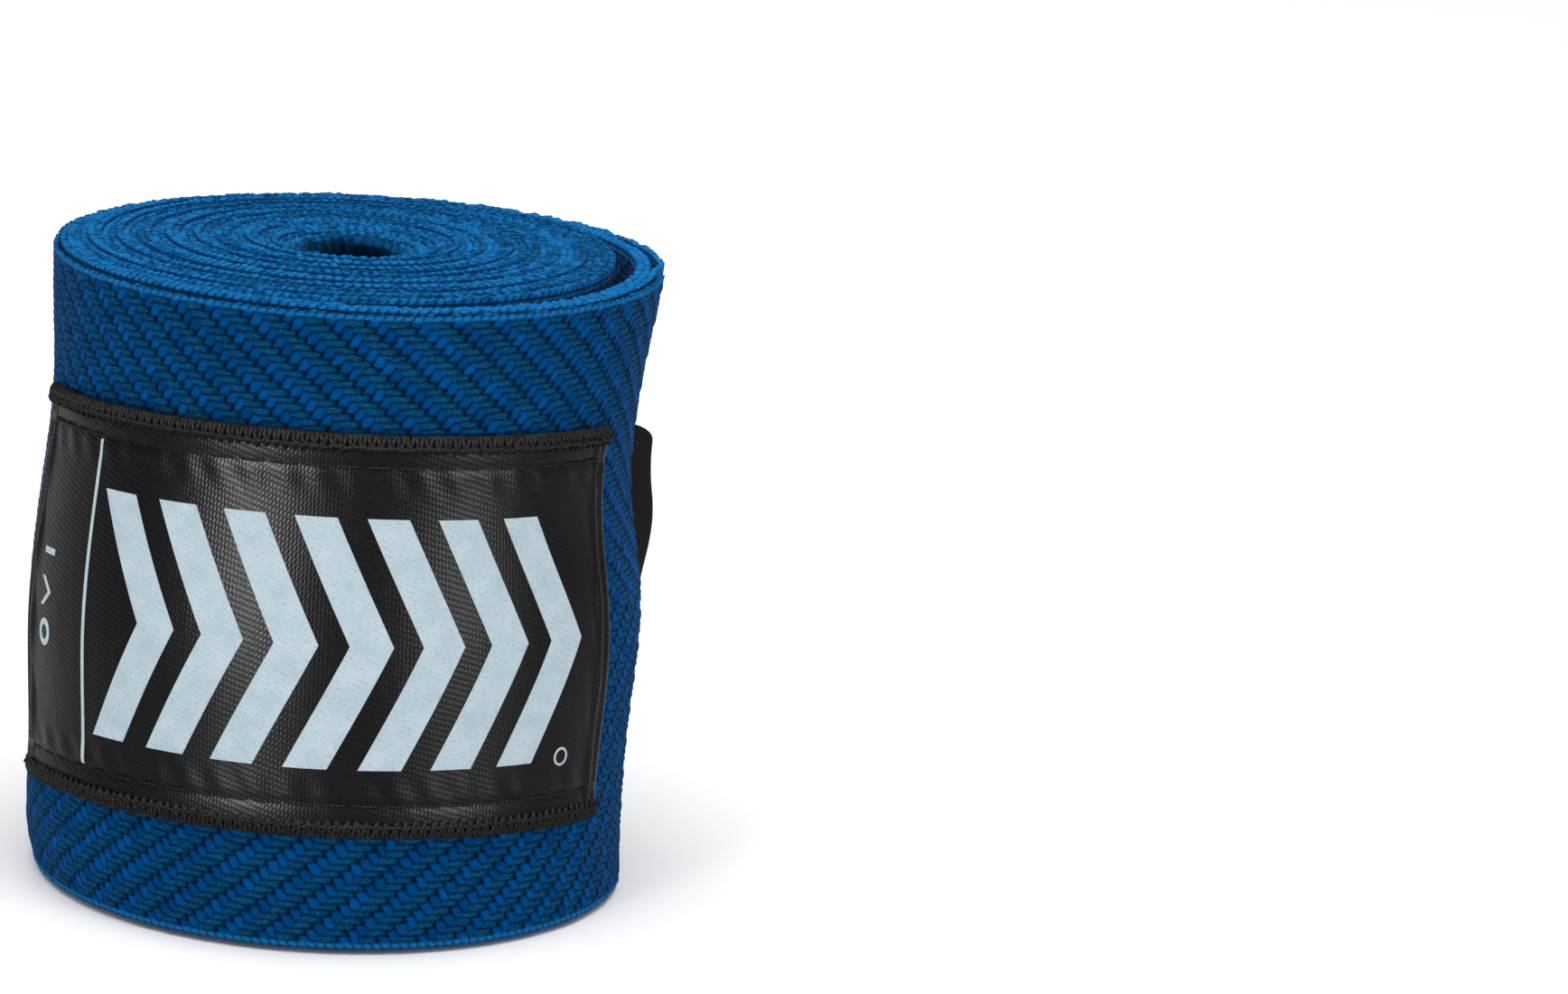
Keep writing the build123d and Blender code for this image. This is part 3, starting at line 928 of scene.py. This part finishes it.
def make_hook_tape():
    face = tab_radius - STRIP_THICKNESS / 2 - 0.02
    angle = np.linspace(HOOK_START, HOOK_END, 150)[:, None]
    z = np.linspace(TAPE_LOW, TAPE_HIGH, 70)[None, :]
    # Past the strip's end the tape narrows a little and its upper corner has lifted.
    beyond = np.clip((angle - TAB_END) / (HOOK_END - TAB_END), 0, 1)
    middle = (TAPE_LOW + TAPE_HIGH) / 2
    z = middle + (z - middle) * (1 - 0.14 * beyond**2)
    lifted = 2.1 * smooth(beyond) * smooth((z - 23) / 9)
    angle, z = np.broadcast_arrays(angle, z)
    top = tab_point(angle, z, face + lifted)
    bottom = tab_point(angle, z, face - HOOK_BASE + lifted)
    tape = slab("hook_strip", top, bottom, HOOK, tape_uv(angle, z, face))
    bend(tape)
    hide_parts("hook_tape_3", "hook_tape_4")

    root = face - HOOK_BASE
    paths = []
    rows = int((TAPE_HIGH - TAPE_LOW - 1.6) / HOOK_PITCH)
    columns = int(math.radians(TAB_END - HOOK_START) * root / HOOK_PITCH)
    for column in range(columns):
        for row in range(rows + 1):
            at = HOOK_START + 1.5 + math.degrees(HOOK_PITCH / root) * (column + 0.5 * (row % 2))
            up = TAPE_LOW + 0.8 + row * HOOK_PITCH
            curl = np.linspace(0, 1, 6)
            depth = root - 0.02 - HOOK_REACH * np.sin(curl * 2.3)
            paths.append(tab_point(at + 1.2 * curl**2 * np.sin(curl * 2.3), up, depth))
    hooks = tubes("hook_stems", paths, 0.07, HOOK, 4)
    bend(hooks)


def roll_point(angle, z, proud):
    """Points over the outside of the last turn under the tab, as it has sprung out."""
    winding = WOUND - 360 + (angle - TAB_START)
    centre, radius, direction, _ = spiral(winding)
    reach = radius + STRIP_THICKNESS / 2 + loosen(winding, z) + proud
    flat = centre + toward(direction) * reach[..., None]
    return settle(np.concatenate([flat, z[..., None]], -1))


def make_loop_tape():
    angle = np.linspace(LOOP_START, LOOP_END, 220)[:, None]
    z = np.linspace(TAPE_LOW, TAPE_HIGH, 130)[None, :]
    angle, z = np.broadcast_arrays(angle, z)
    tufts = chance.uniform(0, 1, angle.shape) * (LOOP_THICKNESS - LOOP_BASE - 0.05)
    inner = smooth((z - TAPE_LOW - 1.0) / 0.4) * smooth((TAPE_HIGH - 1.0 - z) / 0.4)
    top = roll_point(angle, z, LOOP_BASE + tufts * inner)
    bottom = roll_point(angle, z, 0.01)
    tape = slab("loop_strip", top, bottom, LOOP, tape_uv(angle, z, roll_radius))
    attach(tape, "roll")
    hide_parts("loop_tape")

    paths = []
    span = LOOP_END - LOOP_START
    for z_at in (TAPE_LOW + 0.6, TAPE_HIGH - 0.6):
        for k in range(16):
            t = LOOP_START + span * (k + np.linspace(0.08, 0.92, 7)) / 16
            rise = LOOP_BASE + 0.04 + 0.05 * np.sin(np.linspace(0, math.pi, 7))
            paths.append(roll_point(t, np.full(7, z_at), rise))
    for end, step in ((LOOP_START, 1.5), (LOOP_END, -1.5)):
        for k in range(9):
            t = TAPE_LOW + 1 + (TAPE_HIGH - TAPE_LOW - 2) * (k + np.linspace(0.08, 0.92, 7)) / 9
            rise = LOOP_BASE + 0.04 + 0.05 * np.sin(np.linspace(0, math.pi, 7))
            paths.append(roll_point(np.full(7, end + step), t, rise))
    stitches = tubes("loop_seam", paths, 0.10, SEWING)
    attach(stitches, "roll")
    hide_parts("loop_tape_stitching")


def make_thumb_loop():
    """A narrow tape folded flat in the core, with five tacks that hold it to the strip's inner end."""
    low, high = (np.array(corner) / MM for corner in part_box("thumb_loop"))
    middle, half_size = (low[:2] + high[:2]) / 2, (high[:2] - low[:2]) / 2
    turn = np.linspace(0, 2 * math.pi, 60, endpoint=False)
    columns = 40
    share = np.linspace(0, 1, columns)
    z = np.concatenate([low[2] + share * (high[2] - low[2]), high[2] - share * (high[2] - low[2])])
    ribs = 0.04 * np.sin(share * 2 * math.pi * 20)
    inward = np.concatenate([0.02 - ribs, 0.36 + ribs])
    # A rounded oblong, a little fuller than an ellipse.
    shape = np.stack([np.sign(np.cos(turn)) * np.abs(np.cos(turn)) ** 0.75,
                      np.sign(np.sin(turn)) * np.abs(np.sin(turn)) ** 0.75], -1)
    flat = middle + shape[:, None, :] * (half_size[None, None, :] - inward[None, :, None])
    points = np.concatenate([flat, np.broadcast_to(z[None, :, None], flat.shape[:2] + (1,))], -1)
    rings, sides = points.shape[:2]
    quads = ring_faces(rings + 1, sides) % (rings * sides)
    uv = np.stack(np.broadcast_arrays((turn * 1.1)[:, None], z[None, :]), -1)
    tape = mesh_object("thumb_tape", settle(points).reshape(-1, 3), quads, THUMB, uv.reshape(-1, 2))
    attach(tape, "roll")
    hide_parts("thumb_loop")

    low, high = (np.array(corner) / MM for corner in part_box("thumb_loop_stitching"))
    middle = (low + high) / 2
    along = np.array([*toward(TAB_START), 0])
    across = np.array([*toward(TAB_START + 90), 0])
    reach = 0.32
    paths = []
    for k in range(5):
        level = low[2] + 0.6 + k * (high[2] - low[2] - 1.2) / 4
        start = np.array([middle[0], middle[1], level])
        for lean in (-1, 1):
            t = np.linspace(-1, 1, 7)[:, None]
            path = start + along * reach * t + across * 0.12 * lean * t + np.array([0, 0, 0.4 * lean]) * t
            paths.append(settle(path))
    tacks = tubes("thumb_tacks", paths, 0.10, SEWING)
    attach(tacks, "roll")
    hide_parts("thumb_loop_stitching")


make_hook_tape()
make_loop_tape()
make_thumb_loop()

# Light, floor and camera ---------------------------------------------------------------------------


def aimed(obj, place, target):
    obj.location = place
    obj.rotation_euler = (Vector(target) - Vector(place)).to_track_quat("-Z", "Y").to_euler()


def softbox(name, place, width, height, power, sheen_only=False):
    light = bpy.data.lights.new(name, "AREA")
    light.shape = "RECTANGLE"
    light.size, light.size_y = width, height
    light.energy = power
    lamp = bpy.data.objects.new(name, light)
    lamp.visible_diffuse = not sheen_only
    bpy.context.scene.collection.objects.link(lamp)
    aimed(lamp, place, (0, 0, 0.025))


def make_studio():
    floor_mesh = bpy.data.meshes.new("floor")
    size = 3.0
    corners = [(-size, -size, 0), (size, -size, 0), (size, size, 0), (-size, size, 0)]
    floor_mesh.from_pydata(corners, [], [(0, 1, 2, 3)])
    floor = bpy.data.objects.new("floor", floor_mesh)
    bpy.context.scene.collection.objects.link(floor)
    n = Nodes("floor_paper")
    floor_mesh.materials.append(n.finish((0.93, 0.93, 0.935, 1), None, 0.1, 0.9))

    world = bpy.data.worlds.new("studio")
    bpy.context.scene.world = world
    world.use_nodes = True
    world.node_tree.nodes["Background"].inputs[0].default_value = (1, 1, 1, 1)
    world.node_tree.nodes["Background"].inputs[1].default_value = 0.34

    softbox("overhead", (0.0, -0.25, 1.6), 1.6, 1.6, 30.5)
    softbox("front_left", (-0.33, -0.60, 0.36), 0.11, 0.70, 50.0, sheen_only=True)
    softbox("front_right", (0.55, -0.42, 0.36), 0.11, 0.70, 29.0, sheen_only=True)
    bpy.context.scene.view_settings.view_transform = "Standard"


def make_camera():
    """The camera stands in front of the roll and looks past its right side, a little rolled."""
    place = Vector((11.533, -449.838, 138.788)) * MM
    turn, fall, roll = (math.radians(x) for x in (3.016, 13.28, 3.679))
    forward = Vector((math.sin(turn) * math.cos(fall), math.cos(turn) * math.cos(fall), -math.sin(fall)))
    level = Vector((math.cos(turn), -math.sin(turn), 0))
    over = level.cross(forward)
    right = math.cos(roll) * level + math.sin(roll) * over
    up = -math.sin(roll) * level + math.cos(roll) * over
    camera_data = bpy.data.cameras.new("camera")
    camera_data.sensor_width = 36
    camera_data.lens = 133.81
    camera_data.clip_start = 0.01
    camera = bpy.data.objects.new("camera", camera_data)
    bpy.context.scene.collection.objects.link(camera)
    camera.matrix_world = Matrix.Translation(place) @ Matrix((right, up, -forward)).transposed().to_4x4()
    bpy.context.scene.camera = camera


make_studio()
make_camera()
